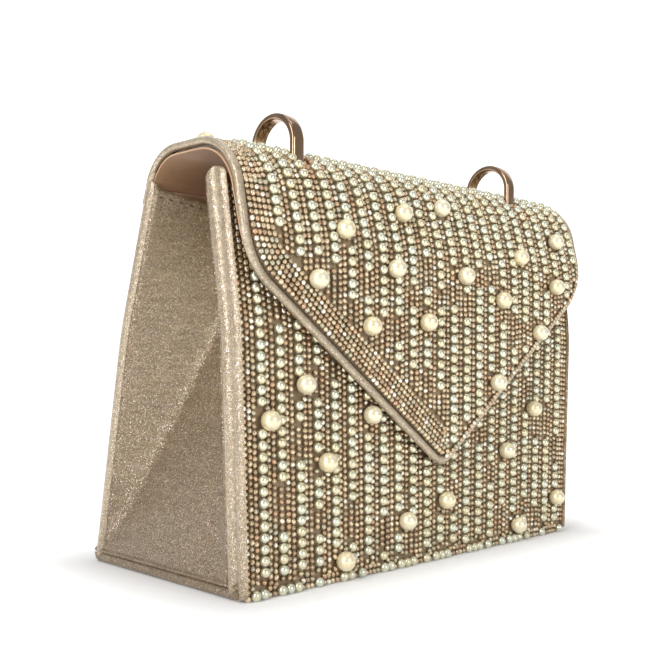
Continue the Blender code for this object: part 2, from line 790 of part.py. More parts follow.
def hang_on_hinge():
    """Parents what the flap carries to an empty on the fold line, just outside the cover."""
    axis = hinge_point() + right_normal(rear_bend(), hinge_point()) * (COVER_OUT + HINGE_STAND)
    hinge = bpy.data.objects.new("flap_hinge_axis", None)
    bpy.context.scene.collection.objects.link(hinge)
    hinge.location = (0, *axis)
    bpy.context.view_layer.update()
    carried = ("flap_", "left_ring", "right_ring")
    for part in bpy.context.scene.objects:
        if part.name.startswith(carried) and part is not hinge:
            part.parent = hinge
            part.matrix_parent_inverse = hinge.matrix_world.inverted()


def make_paints():
    return {
        "lame": make_material("gold lame cloth", (0.62, 0.50, 0.37), 0.42, 0.55),
        "lining": make_material("nude lining", (0.72, 0.52, 0.38), 0.6, 0),
        "beads": make_material("seed beads", (0.52, 0.42, 0.28), 0.35, 0.3),
        "board": make_material("stiffening board", (0.45, 0.40, 0.34), 0.85, 0),
        "gold": make_material("rose gold", (0.62, 0.42, 0.27), 0.18, 1),
        "magnet": make_material("nickel magnet", (0.55, 0.55, 0.55), 0.3, 1),
        "pearl": make_material("ivory pearl", (0.80, 0.74, 0.56), 0.22, 0),
    }


def main():
    for leftover in list(bpy.data.objects):
        bpy.data.objects.remove(leftover)
    paint = make_paints()
    make_body(paint)
    make_base(paint)
    make_gussets(paint)
    flap_layers = make_flap(paint)
    make_piping(paint)
    make_rings(paint, flap_layers)
    make_magnets(paint, bpy.data.objects["front_board"], flap_layers[1])
    make_pearls(paint)
    hang_on_hinge()


main()
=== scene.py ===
import json
import math
import random

import bmesh
import bpy
import numpy as np
from mathutils import Matrix, Vector, noise


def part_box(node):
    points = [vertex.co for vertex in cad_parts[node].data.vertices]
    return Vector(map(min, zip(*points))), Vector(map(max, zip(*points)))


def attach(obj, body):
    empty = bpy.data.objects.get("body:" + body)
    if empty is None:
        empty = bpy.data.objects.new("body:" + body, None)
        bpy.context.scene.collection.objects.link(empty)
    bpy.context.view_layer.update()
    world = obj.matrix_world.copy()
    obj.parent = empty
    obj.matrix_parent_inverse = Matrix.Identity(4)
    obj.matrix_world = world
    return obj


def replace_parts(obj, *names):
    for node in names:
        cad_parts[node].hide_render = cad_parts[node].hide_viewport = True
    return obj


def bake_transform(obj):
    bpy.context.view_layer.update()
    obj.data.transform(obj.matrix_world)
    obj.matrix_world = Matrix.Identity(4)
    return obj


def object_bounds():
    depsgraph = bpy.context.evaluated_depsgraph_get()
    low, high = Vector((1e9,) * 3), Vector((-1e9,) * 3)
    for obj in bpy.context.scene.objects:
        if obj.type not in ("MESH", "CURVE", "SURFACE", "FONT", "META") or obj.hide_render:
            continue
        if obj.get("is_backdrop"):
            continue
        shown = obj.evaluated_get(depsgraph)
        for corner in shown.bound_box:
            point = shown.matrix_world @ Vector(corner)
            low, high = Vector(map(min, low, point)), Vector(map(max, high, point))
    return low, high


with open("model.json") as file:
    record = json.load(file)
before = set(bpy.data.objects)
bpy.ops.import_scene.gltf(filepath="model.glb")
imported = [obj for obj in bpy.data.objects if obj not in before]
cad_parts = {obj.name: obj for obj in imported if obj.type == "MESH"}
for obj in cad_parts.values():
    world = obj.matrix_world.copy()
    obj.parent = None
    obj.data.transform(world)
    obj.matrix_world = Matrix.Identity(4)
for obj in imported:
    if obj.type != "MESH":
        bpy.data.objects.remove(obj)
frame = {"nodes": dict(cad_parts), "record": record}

CAD_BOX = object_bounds()
MM = 0.001

# The bag's profile, as in the solids: YZ paths up the rear, over the top and down the front
BASE_WIDTH = 190 * MM
TOP_WIDTH = 202 * MM
FRONT_FOOT = 41.5 * MM
REAR_FOOT = 44 * MM
PANEL_FOOT = 1.5 * MM
FRONT_TOP_HEIGHT = 134 * MM
FRONT_TOP_SETBACK = 5.3 * MM
FRONT_BEND_HEIGHT = 88 * MM
FRONT_BEND_RADIUS = 120 * MM
REAR_BEND = Vector((22.5, 87)) * MM
REAR_BEND_RADIUS = 150 * MM
HINGE = Vector((3.8, 137)) * MM
FLAP_TOP_HEIGHT = 148.5 * MM
FLAP_FRONT = 48 * MM
FLAP_FRONT_BEND_SETBACK = 8.8 * MM
FLAP_SLOPE_HEIGHT = 116 * MM
FLAP_RADII = (15 * MM, 20 * MM, 60 * MM)
FLAP_WIDTH = 201 * MM
FLAP_SHOULDER_HEIGHT = 108 * MM
FLAP_SHOULDER_RADIUS = 26 * MM
FLAP_TIP_HEIGHT = 35.5 * MM
FLAP_TIP_RADIUS = 9 * MM
PIPING_RADIUS = 1.7 * MM
PIPING_CORD = 1.55 * MM
PIPING_TOP_LEVEL = 0.9 * MM
PIPING_FRONT_LEVEL = -0.5 * MM
FLAP_INSET = 3.7 * MM
HINGE_GAP = 0.6 * MM

# Levels out of the boards' faces
CLOTH_IN = 0.05 * MM
CLOTH_OUT = 0.35 * MM
FLAP_LINING_OUT = -1.5 * MM
FLAP_LINING_IN = -2.0 * MM
BODY_LINING_IN = -3.1 * MM
COVER_IN = 0.3 * MM
COVER_OUT = 1.5 * MM

# Beads: sizes and pitches
PEARL = 1.78 * MM
PEARL_PITCH = 3.65 * MM
PEARL_SIZES = (0.96, 1.03)
PEARL_ODDS = (5, 3, 2)
SEED = 1.06 * MM
SEED_PITCH = 2.1 * MM
SEED_SIZES = (0.92, 1.06)
SEED_STRAY = 0.12 * MM
SEED_SQUASH = 0.88
LARGE_PEARL = 3.45 * MM
BEAD_STAND = 0.92
BEAD_TURN = 6.28
COLUMN_COUNT = 22
COLUMN_PITCH = 8.15 * MM
COLUMNS = [(index - (COLUMN_COUNT - 1) / 2) * COLUMN_PITCH for index in range(COLUMN_COUNT)]
SEED_COLUMNS = (2.95 * MM, 5.2 * MM)
LEFT_EDGE_ROWS = (0.55 * MM, 2.55 * MM, 4.55 * MM, 6.55 * MM, 8.55 * MM)
RIGHT_EDGE_ROWS = (-0.6 * MM,)
EDGE_RAG = 7 * MM
EDGE_LIP = 1.4 * MM
FRONT_EDGE_COLUMNS = [
    side * (BASE_WIDTH / 2 - EDGE_LIP - SEED - step * SEED_PITCH) for side in (-1, 1) for step in range(3)
]
TOP_PEARLS = ((-89 * MM, 3.6 * MM), (26 * MM, 5 * MM))

# Beads: the room that they leave each other
PEARL_CLEAR = 4.5 * MM
SEED_CLEAR = 3.45 * MM
PEARL_ROOM = PEARL * 0.8
SEED_ROOM = SEED * 0.7
EDGE_PEARL_GAP = PEARL + SEED * 0.6
EDGE_SEED_GAP = SEED * 1.5
FOOT_PEARL_GAP = 3 * PEARL
FOOT_SEED_GAP = 2 * PEARL + SEED * 0.3
PANEL_MARGIN = 1.0 * MM

# Stretches of a column that have pearls, and those that have seed beads alone
RUN_START = (-18 * MM, 4 * MM)
RUN_OF_PEARLS = (24 * MM, 85 * MM)
RUN_OF_SEEDS = (6 * MM, 17 * MM)
PEARLS_FIRST_ODDS = 0.75
FLAP_SURE_RUN = 38 * MM
FOOT_PEARL_ODDS = 0.4

# Rings
RING_X = 64.5 * MM
RING_Y = -24 * MM
RING_LEG = 10.5 * MM
RING_LEGS = [(x, RING_Y + leg) for x in (-RING_X, RING_X) for leg in (-RING_LEG, RING_LEG)]
RING_SLOT_X, RING_SLOT_Y = 3.0 * MM, 1.3 * MM
RING_THICK = 2.5 * MM
RING_CORNER = 2 * MM
RING_FLAT_ACROSS, RING_FLAT_OUT = 0.35, 0.7
COPPER_REACH = 7 * MM

STEPS = 16


def clamp(value):
    return min(max(value, 0), 1)


def arc(centre, radius, start, end, steps):
    """Points on an arc from one angle to another."""
    angles = [start + (end - start) * step / steps for step in range(steps + 1)]
    return [Vector(centre) + Vector((math.cos(angle), math.sin(angle))) * radius for angle in angles]


def rounded_path(corners, radii, steps=STEPS):
    """The polyline through the corners, with each inner corner turned into an arc of its radius."""
    points = [Vector(corners[0])]
    for before, corner, after, radius in zip(corners, corners[1:], corners[2:], radii):
        arriving = (Vector(corner) - Vector(before)).normalized()
        leaving = (Vector(after) - Vector(corner)).normalized()
        side = 1 if arriving.cross(leaving) > 0 else -1
        turn = arriving.angle(leaving)
        start = Vector(corner) - arriving * radius * math.tan(turn / 2)
        to_centre = Vector((-arriving.y, arriving.x)) * side * radius
        for step in range(steps + 1):
            spoke = Matrix.Rotation(side * turn * step / steps, 2) @ -to_centre
            points.append(start + to_centre + spoke)
    points.append(Vector(corners[-1]))
    return points


class Path:
    """A YZ or XZ polyline that can be read by length, with the normal on its right-hand side."""

    def __init__(self, points):
        self.points = [Vector(point) for point in points]
        steps = [(b - a).length for a, b in zip(self.points, self.points[1:])]
        self.lengths = np.concatenate(([0.0], np.cumsum(steps)))
        self.length = float(self.lengths[-1])
        sides = [(b - a).normalized() for a, b in zip(self.points, self.points[1:])]
        sides = [Vector((side.y, -side.x)) for side in sides]
        self.normals = [sides[0]]
        self.normals += [(a + b).normalized() for a, b in zip(sides, sides[1:])]
        self.normals.append(sides[-1])

    def at(self, length):
        """The point and the normal at a length from the start."""
        index = int(np.clip(np.searchsorted(self.lengths, length) - 1, 0, len(self.points) - 2))
        start, end = self.lengths[index], self.lengths[index + 1]
        share = (length - start) / max(end - start, 1e-9)
        place = self.points[index].lerp(self.points[index + 1], share)
        normal = self.normals[index].lerp(self.normals[index + 1], clamp(share)).normalized()
        return place, normal

    def off(self, length, level):
        place, normal = self.at(length)
        return place + normal * level

    def evenly(self, pitch):
        count = max(2, round(self.length / pitch))
        return [self.length * step / count for step in range(count + 1)]


def half_width(height):
    return (BASE_WIDTH + (TOP_WIDTH - BASE_WIDTH) * height / FRONT_TOP_HEIGHT) / 2


FRONT = Path(
    rounded_path(
        [
            (-FRONT_FOOT, PANEL_FOOT),
            (-FRONT_FOOT, FRONT_BEND_HEIGHT),
            (FRONT_TOP_SETBACK - FRONT_FOOT, FRONT_TOP_HEIGHT),
        ],
        [FRONT_BEND_RADIUS],
    )[::-1]
)
REAR = Path(rounded_path([(REAR_FOOT, PANEL_FOOT), REAR_BEND, HINGE], [REAR_BEND_RADIUS]))
FLAP = Path(
    rounded_path(
        [
            HINGE,
            HINGE + (HINGE - REAR_BEND) * (FLAP_TOP_HEIGHT - HINGE.y) / (HINGE.y - REAR_BEND.y),
            (FLAP_FRONT_BEND_SETBACK - FLAP_FRONT, FLAP_TOP_HEIGHT),
            (-FLAP_FRONT, FLAP_SLOPE_HEIGHT),
            (-FLAP_FRONT, FLAP_TIP_HEIGHT - FLAP_TIP_RADIUS),
        ],
        FLAP_RADII,
    )
)
BEADS_START = STEPS + 1
BACK = Path(REAR.points + FLAP.points[1 : BEADS_START + 1])
FLAP_CROWN = max(range(len(FLAP.points)), key=lambda index: (FLAP.points[index].y, index))


def flap_length_at(height):
    """How far along the flap its falling front reaches a height."""
    heights = [point.y for point in FLAP.points[FLAP_CROWN:]]
    return float(np.interp(-height, [-h for h in heights], FLAP.lengths[FLAP_CROWN:]))


def flap_outline(inset):
    """The flap's outline on its front, as X and Z, from the right shoulder round the tip to the left."""
    start = FLAP_SHOULDER_HEIGHT + FLAP_SHOULDER_RADIUS
    half = FLAP_WIDTH / 2
    corners = [
        (half, start),
        (half, FLAP_SHOULDER_HEIGHT),
        (0, FLAP_TIP_HEIGHT),
        (-half, FLAP_SHOULDER_HEIGHT),
        (-half, start),
    ]
    radii = [FLAP_SHOULDER_RADIUS, FLAP_TIP_RADIUS, FLAP_SHOULDER_RADIUS]
    path = Path(rounded_path(corners, radii))
    return Path([point + normal * inset for point, normal in zip(path.points, path.normals)])


FLAP_EDGE = flap_outline(FLAP_INSET)
FLAP_START = flap_length_at(FLAP_EDGE.points[0].y)


def inside_flap(x, length):
    """How far a point of the flap lies inside its beaded edge."""
    ends = FLAP_WIDTH / 2 - FLAP_INSET - abs(x)
    if length < FLAP_START:
        return ends
    height = FLAP.at(length)[0].y
    place = Vector((abs(x), height))
    half = FLAP_EDGE.points[: len(FLAP_EDGE.points) // 2 + 1]
    nearest = math.inf
    for a, b in zip(half, half[1:]):
        along = (b - a).normalized()
        reach = min(max((place - a).dot(along), 0), (b - a).length)
        gap = place - a - along * reach
        signed = math.copysign(gap.length, gap.dot(Vector((along.y, -along.x))))
        nearest = signed if abs(signed) < abs(nearest) else nearest
    return min(ends, nearest)


# Making objects


WELD = 0.001 * MM
SHARP = math.radians(40)


def link_object(name, data):
    made = bpy.data.objects.new(name, data)
    bpy.context.scene.collection.objects.link(made)
    return made


def add_object(name, mesh, materials, body):
    for material in materials if isinstance(materials, (list, tuple)) else [materials]:
        mesh.materials.append(material)
    made = link_object(name, mesh)
    if body:
        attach(made, body)
    return made


def mesh_from(name, vertices, faces):
    shape = bmesh.new()
    corners = [shape.verts.new(vertex) for vertex in vertices]
    for face in faces:
        shape.faces.new([corners[index] for index in face])
    bmesh.ops.remove_doubles(shape, verts=shape.verts, dist=WELD)
    bmesh.ops.recalc_face_normals(shape, faces=shape.faces)
    mesh = bpy.data.meshes.new(name)
    shape.to_mesh(mesh)
    shape.free()
    mesh.shade_smooth()
    mesh.set_sharp_from_angle(angle=SHARP)
    return mesh


def skin_faces(rows, count, spans, first=0):
    """Faces between neighbouring loops of equally many points, numbered on from a first one."""
    faces = []
    for row in range(rows - 1):
        here, there = first + row * count, first + (row + 1) * count
        for side in range(spans):
            after = (side + 1) % count
            faces.append((here + side, here + after, there + after, there + side))
    return faces


def loft(name, loops, closed_loop=True, caps=True):
    """A skin through a row of loops with equally many points."""
    vertices = [point for loop in loops for point in loop]
    count = len(loops[0])
    faces = skin_faces(len(loops), count, count if closed_loop else count - 1)
    if caps:
        faces.append(tuple(range(count)))
        faces.append(tuple(reversed(range((len(loops) - 1) * count, len(loops) * count))))
    return mesh_from(name, vertices, faces)


def sheet_loops(path, lengths, halves, inner, outer):
    """Four-cornered loops along a path, between two levels, with half a width for each length."""
    loops = []
    for length, half in zip(lengths, halves):
        low, high = path.off(length, inner), path.off(length, outer)
        loops.append([(-half, *low), (half, *low), (half, *high), (-half, *high)])
    return loops


# Materials


WEAVE_STRETCH = (0.2, 0.2, 1.0)
WEAVE_SCALE = 520.0
FLAKE_SCALE = 4000.0
FLAKE_TINT = 0.2
FOIL_LEAST, FOIL_MOST = 0.35, 0.85
MIX_FIRST, MIX_SECOND, MIX_RESULT = 6, 7, 2


def new_material(name):
    material = bpy.data.materials.new(name)
    material.use_nodes = True
    nodes = material.node_tree.nodes
    return material, nodes, nodes["Principled BSDF"]


def set_inputs(node, **values):
    """Sets a node's inputs, whose names have underscores for spaces."""
    for name, value in values.items():
        node.inputs[name.replace("_", " ")].default_value = value


def add_node(nodes, kind, **values):
    """A new node with its settings and the values of its inputs."""
    node = nodes.new(kind)
    for name, value in values.items():
        if hasattr(node, name):
            setattr(node, name, value)
        else:
            set_inputs(node, **{name: value})
    return node


def ramp(nodes, *stops):
    node = nodes.new("ShaderNodeValToRGB")
    for element, (position, colour) in zip(node.color_ramp.elements, stops):
        element.position = position
        element.color = (*colour, 1)
    return node


def connect(material, *joins):
    """Links nodes: each join is a node and its output, then a node and its input."""
    for source, output, target, entry in joins:
        material.node_tree.links.new(source.outputs[output], target.inputs[entry])


def plain(name, colour, roughness, metallic=0.55, coat=0.5, coat_roughness=0.05):
    """A bead's glaze, the same all over."""
    material, _, shader = new_material(name)
    set_inputs(shader, Base_Color=(*colour, 1), Roughness=roughness, Metallic=metallic)
    set_inputs(shader, Coat_Weight=coat, Coat_Roughness=coat_roughness)
    return material


def lame_cloth(name, dark, light, glint, flake_tilt):
    """Metallic cloth: a fine crosswise weave, cloudy tone and small flakes that each face their own way."""
    material, nodes, shader = new_material(name)
    where = nodes.new("ShaderNodeTexCoord")
    surface = nodes.new("ShaderNodeNewGeometry")
    stretch = add_node(nodes, "ShaderNodeMapping", Scale=WEAVE_STRETCH)
    clouds = add_node(nodes, "ShaderNodeTexNoise", Scale=WEAVE_SCALE, Detail=4.0, Roughness=0.75)
    tone = ramp(nodes, (0.30, dark), (0.70, light))
    flakes = add_node(nodes, "ShaderNodeTexVoronoi", Scale=FLAKE_SCALE)
    sparkle = nodes.new("ShaderNodeSeparateColor")
    chosen = ramp(nodes, (0.74, (0, 0, 0)), (0.92, (1, 1, 1)))
    foil = add_node(nodes, "ShaderNodeMapRange", To_Min=FOIL_LEAST, To_Max=FOIL_MOST)
    tint = add_node(nodes, "ShaderNodeMix", data_type="RGBA", Factor=FLAKE_TINT)
    tint.inputs[MIX_FIRST].default_value = (*glint, 1)
    mixed = add_node(nodes, "ShaderNodeMix", data_type="RGBA")
    centred = add_node(nodes, "ShaderNodeVectorMath", operation="SUBTRACT")
    centred.inputs[1].default_value = (0.5, 0.5, 0.5)
    tilted = add_node(nodes, "ShaderNodeVectorMath", operation="MULTIPLY_ADD")
    tilted.inputs[1].default_value = (flake_tilt, flake_tilt, flake_tilt)
    facing = add_node(nodes, "ShaderNodeVectorMath", operation="NORMALIZE")
    weave = add_node(nodes, "ShaderNodeBump", Strength=0.25, Distance=0.4 * MM)
    connect(
        material,
        (where, "Object", stretch, "Vector"),
        (stretch, "Vector", clouds, "Vector"),
        (clouds, "Fac", tone, "Fac"),
        (where, "Object", flakes, "Vector"),
        (flakes, "Color", sparkle, "Color"),
        (sparkle, "Red", chosen, "Fac"),
        (chosen, "Color", foil, "Value"),
        (foil, "Result", shader, "Metallic"),
        (flakes, "Color", tint, MIX_SECOND),
        (chosen, "Color", mixed, "Factor"),
        (tone, "Color", mixed, MIX_FIRST),
        (tint, MIX_RESULT, mixed, MIX_SECOND),
        (mixed, MIX_RESULT, shader, "Base Color"),
        (flakes, "Color", centred, 0),
        (centred, "Vector", tilted, 0),
        (surface, "Normal", tilted, 2),
        (tilted, "Vector", facing, 0),
        (clouds, "Fac", weave, "Height"),
        (facing, "Vector", weave, "Normal"),
        (weave, "Normal", shader, "Normal"),
        (weave, "Normal", shader, "Coat Normal"),
    )
    set_inputs(shader, Roughness=0.36, Coat_Weight=0.7, Coat_Roughness=0.14)
    return material


def satin(name, dark, light, sheen=0.0):
    """Lining cloth: soft folds of tone and a fine thread."""
    material, nodes, shader = new_material(name)
    where = nodes.new("ShaderNodeTexCoord")
    clouds = add_node(nodes, "ShaderNodeTexNoise", Scale=60.0, Detail=4.0)
    tone = ramp(nodes, (0.35, dark), (0.7, light))
    threads = add_node(nodes, "ShaderNodeTexNoise", Scale=2200.0, Detail=1.0)
    bump = add_node(nodes, "ShaderNodeBump", Strength=0.2, Distance=0.2 * MM)
    connect(
        material,
        (where, "Object", clouds, "Vector"),
        (clouds, "Fac", tone, "Fac"),
        (tone, "Color", shader, "Base Color"),
        (where, "Object", threads, "Vector"),
        (threads, "Fac", bump, "Height"),
        (bump, "Normal", shader, "Normal"),
    )
    set_inputs(shader, Roughness=0.42, Sheen_Weight=sheen)
    return material


def polished(name, dark, light):
    """Plated metal with a faint smear in its polish."""
    material, nodes, shader = new_material(name)
    where = nodes.new("ShaderNodeTexCoord")
    smear = add_node(nodes, "ShaderNodeTexNoise", Scale=180.0, Detail=4.0)
    tone = ramp(nodes, (0.3, dark), (0.7, light))
    rough = add_node(nodes, "ShaderNodeMapRange", To_Min=0.10, To_Max=0.20)
    connect(
        material,
        (where, "Object", smear, "Vector"),
        (smear, "Fac", tone, "Fac"),
        (tone, "Color", shader, "Base Color"),
        (smear, "Fac", rough, "Value"),
        (rough, "Result", shader, "Roughness"),
    )
    set_inputs(shader, Metallic=1.0)
    return material


LAME = lame_cloth("lame cloth", (0.140, 0.090, 0.038), (0.245, 0.172, 0.084), (0.56, 0.51, 0.37), 0.7)
# Lighter lamé for the edge rolls: partly a paler cloth, partly a painted highlight, lightened to stand in
# for the light that the rolls catch.
BINDING_LAME_WITH_PAINTED_HIGHLIGHT = lame_cloth("binding lame with painted highlight", (0.25, 0.18, 0.1), (0.43, 0.335, 0.21), (0.74, 0.7, 0.58), 0.35)
PIPING_CLOTH = lame_cloth("piping cloth", (0.30, 0.23, 0.14), (0.50, 0.42, 0.28), (0.75, 0.67, 0.54), 0.4)
BEAD_CLOTH = satin("bead backing cloth", (0.30, 0.21, 0.125), (0.42, 0.31, 0.195))
LINING = satin("nude satin", (0.56, 0.33, 0.18), (0.70, 0.45, 0.27), sheen=0.3)
BOARD = satin("stiffening board", (0.40, 0.36, 0.31), (0.50, 0.46, 0.40))
THREAD = satin("dark thread", (0.05, 0.035, 0.025), (0.09, 0.06, 0.045))
GOLD = polished("rose gold plate", (0.32, 0.21, 0.135), (0.46, 0.32, 0.215))
NICKEL = polished("nickel plate", (0.45, 0.45, 0.45), (0.62, 0.62, 0.62))
PEARLS = [
    plain("pearl ivory", (0.71, 0.68, 0.50), 0.20, metallic=0.65, coat=0.6),
    plain("pearl cool ivory", (0.70, 0.71, 0.57), 0.18, metallic=0.65, coat=0.6),
    plain("pearl warm ivory", (0.71, 0.65, 0.44), 0.22, metallic=0.65, coat=0.6),
]
LARGE_PEARLS = [
    plain("large pearl cream", (0.90, 0.79, 0.52), 0.24, metallic=0.3, coat=1.0, coat_roughness=0.07),
    plain("large pearl pale cream", (0.91, 0.82, 0.58), 0.22, metallic=0.3, coat=1.0, coat_roughness=0.07),
]
SEEDS = [
    plain("seed bronze", (0.43, 0.305, 0.18), 0.20),
    plain("seed copper", (0.58, 0.365, 0.21), 0.20),
    plain("seed brown gold", (0.57, 0.43, 0.265), 0.18),
    plain("seed pale gold", (0.74, 0.60, 0.40), 0.16),
    plain("seed olive grey", (0.52, 0.465, 0.33), 0.16),
    plain("seed crystal", (0.88, 0.82, 0.70), 0.12, metallic=0.7, coat=0.6),
]
COPPER = 1
SEED_ODDS = (0.17, 0.05, 0.32, 0.25, 0.14, 0.07)


# Beads


def ball(sides, rings):
    """The vertices and faces of a ball of radius 1."""
    vertices = [(0, 0, 1)]
    for ring in range(1, rings):
        polar = math.pi * ring / rings
        for side in range(sides):
            angle = 2 * math.pi * side / sides
            x, y = math.sin(polar) * math.cos(angle), math.sin(polar) * math.sin(angle)
            vertices.append((x, y, math.cos(polar)))
    vertices.append((0, 0, -1))
    last = len(vertices) - 1
    faces = [(0, 1 + side, 1 + (side + 1) % sides) for side in range(sides)]
    for ring in range(rings - 2):
        first = 1 + ring * sides
        for side in range(sides):
            after = (side + 1) % sides
            faces.append((first + side, first + sides + side, first + sides + after, first + after))
    first = 1 + (rings - 2) * sides
    faces += [(last, first + (side + 1) % sides, first + side) for side in range(sides)]
    return np.array(vertices), faces


def bead_object(name, beads, template, materials, body, rng, squash):
    """One mesh of many beads. A bead is its centre, its radius and its material's number."""
    vertices, faces = template
    all_vertices, all_faces, numbers = [], [], []
    for index, (centre, radius, number) in enumerate(beads):
        turn = rng.uniform(0, BEAD_TURN)
        axis = Vector([rng.gauss(0, 1) for _ in range(3)]).normalized()
        spin = Matrix.Rotation(turn, 3, axis)
        size = np.array([radius * squash, radius, radius])
        all_vertices.append(vertices * size @ np.array(spin).T + np.array(centre))
        first = index * len(vertices)
        all_faces += [tuple(first + corner for corner in face) for face in faces]
        numbers += [number] * len(faces)
    mesh = bpy.data.meshes.new(name)
    mesh.from_pydata(np.concatenate(all_vertices), [], all_faces)
    mesh.polygons.foreach_set("material_index", numbers)
    mesh.polygons.foreach_set("use_smooth", [True] * len(all_faces))
    return add_object(name, mesh, materials, body)


def runs(rng, length, sure):
    """The stretches of a column that have pearls, the first of which goes past the length that is sure."""
    at = rng.uniform(*RUN_START)
    pearls = sure > 0 or rng.random() < PEARLS_FIRST_ODDS
    while at < length:
        reach = rng.uniform(*(RUN_OF_PEARLS if pearls else RUN_OF_SEEDS))
        if sure and at < sure:
            reach = sure - at + reach / 2
        if pearls:
            yield at, at + reach
        at += reach
        pearls = not pearls


class Panel:
    """Beads on one face of the bag, as points of X and length along a path."""

    def __init__(self, name, path, body, node, seed, large):
        self.name, self.path, self.body, self.node = name, path, body, node
        self.rng = random.Random(seed)
        self.large = large
        self.coppery = lambda x, length: False
        self.sure_run = 0
        self.pearls, self.seeds = [], []

    def clear(self, x, length, reach):
        return all(math.hypot(x - a, length - b) > reach for a, b in self.large)

    def place(self, x, length, radius):
        y, z = self.path.off(length, CLOTH_OUT + radius * BEAD_STAND)
        return (x, y, z)

    def pearl(self, x, length):
        number = self.rng.choices(range(len(PEARLS)), PEARL_ODDS)[0]
        radius = PEARL * self.rng.uniform(*PEARL_SIZES)
        self.pearls.append((self.place(x, length, PEARL), radius, number))

    def seed(self, x, length):
        if self.clear(x, length, SEED_CLEAR):
            number = COPPER
            if not self.coppery(x, length):
                number = self.rng.choices(range(len(SEEDS)), SEED_ODDS)[0]
            x += self.rng.uniform(-SEED_STRAY, SEED_STRAY)
            radius = SEED * self.rng.uniform(*SEED_SIZES)
            self.seeds.append((self.place(x, length, SEED), radius, number))

    def fill(self, columns, across, low, high, keep_pearl, keep_seed):
        """Columns of pearls with two columns of seed beads between them, each cut to where it may lie."""
        for column in columns:
            pearls = []
            for start, end in runs(self.rng, high - low, self.sure_run):
                count = max(int((end - start) / PEARL_PITCH), 1)
                for step in range(count):
                    length = low + start + (step + 0.5) * (end - start) / count
                    x = across(column, length)
                    fits = low <= length <= high and self.clear(x, length, PEARL_CLEAR)
                    if fits and keep_pearl(x, length):
                        self.pearl(x, length)
                        pearls.append(length)
            self.seed_column(column, across, low, high, keep_seed, pearls)
            for shift in SEED_COLUMNS if column < max(columns) else ():
                self.seed_column(column + shift, across, low, high, keep_seed)

    def seed_column(self, column, across, low, high, keep, pearls=()):
        """A column of seed beads, wherever its pearls leave room."""
        phase = self.rng.uniform(0, SEED_PITCH)
        count = int((high - low - phase) / SEED_PITCH)
        for step in range(count + 1):
            length = low + phase + step * SEED_PITCH
            x = across(column, length)
            if keep(x, length) and all(abs(length - other) > PEARL + SEED_ROOM for other in pearls):
                self.seed(x, length)

    def make_beads(self, kind, beads, template, materials, squash=1.0):
        name = f"{self.name}_{kind}"
        return bead_object(name, beads, template, materials, self.body, self.rng, squash)

    def make(self, large_beads, large_nodes):
        pearls = self.make_beads("small_pearls", self.pearls, ball(12, 8), PEARLS)
        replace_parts(pearls, self.node)
        split = len(self.seeds) // 2
        for side, beads in (("left", self.seeds[:split]), ("right", self.seeds[split:])):
            self.make_beads(f"{side}_seed_beads", beads, ball(7, 5), SEEDS, SEED_SQUASH)
        big = self.make_beads("large_pearls", large_beads, ball(32, 20), LARGE_PEARLS)
        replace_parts(big, *large_nodes)


def large_pearls(prefix, path, length_at):
    """Where the solids' large pearls sit: their X and length, their balls and their nodes."""
    spots, balls, nodes = [], [], sorted(name for name in frame["nodes"] if name.startswith(prefix))
    for index, node in enumerate(nodes):
        low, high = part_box(node)
        middle = (low + high) / 2
        length = length_at(middle.z)
        spots.append((middle.x, length))
        y, z = path.off(length, CLOTH_OUT + LARGE_PEARL)
        balls.append(((middle.x, y, z), LARGE_PEARL, index % len(LARGE_PEARLS)))
    return spots, balls, nodes


FRONT_BASE = FRONT.length + PANEL_FOOT


def foot_row(panel):
    """Pearls and pairs of seed beads side by side along the front's foot."""
    x, end = EDGE_LIP - BASE_WIDTH / 2, BASE_WIDTH / 2 - EDGE_LIP - PEARL
    while x < end:
        fits = panel.clear(x + PEARL, FRONT_BASE - PEARL, PEARL_CLEAR)
        pearl = panel.rng.random() < FOOT_PEARL_ODDS and fits
        radius = PEARL if pearl else SEED
        x += radius
        if pearl:
            panel.pearl(x, FRONT_BASE - PEARL)
        else:
            panel.seed(x, FRONT_BASE - SEED)
            panel.seed(x, FRONT_BASE - SEED - SEED_PITCH)
        x += radius


def front_length_at(height):
    heights = [-point.y for point in FRONT.points]
    return float(np.interp(-height, heights, FRONT.lengths))


def spread(column, length):
    """Where a column of the front lies, since they spread with its width."""
    return column * half_width(FRONT.at(length)[0].y) / half_width(0)


def bead_front():
    spots, balls, nodes = large_pearls("front_pearl", FRONT, front_length_at)
    panel = Panel("front", FRONT, "body", "front_beadwork", 11, spots)

    def keep_seed(x, length):
        return PANEL_MARGIN < length < FRONT_BASE - FOOT_SEED_GAP

    def keep_pearl(x, length):
        return PANEL_MARGIN < length < FRONT_BASE - FOOT_PEARL_GAP

    low, high = 0.0, FRONT.length
    panel.fill(COLUMNS, spread, low, high, keep_pearl, keep_seed)
    for column in FRONT_EDGE_COLUMNS:
        panel.seed_column(column, spread, low, high, keep_seed)
    foot_row(panel)
    panel.make(balls, nodes)


def clear_of_rings(x, length, radius):
    y = FLAP.at(length)[0].x
    return all(abs(x - a) > RING_SLOT_X + radius or abs(y - b) > RING_SLOT_Y + radius for a, b in RING_LEGS)


def near_rings(x, length):
    y = FLAP.at(length)[0].x
    return any(math.hypot(x - a, y - b) < COPPER_REACH for a, b in RING_LEGS)


def edge_rows(x):
    return LEFT_EDGE_ROWS if x < 0 else RIGHT_EDGE_ROWS


def straight(column, length):
    return column


def anywhere(x, length):
    return True


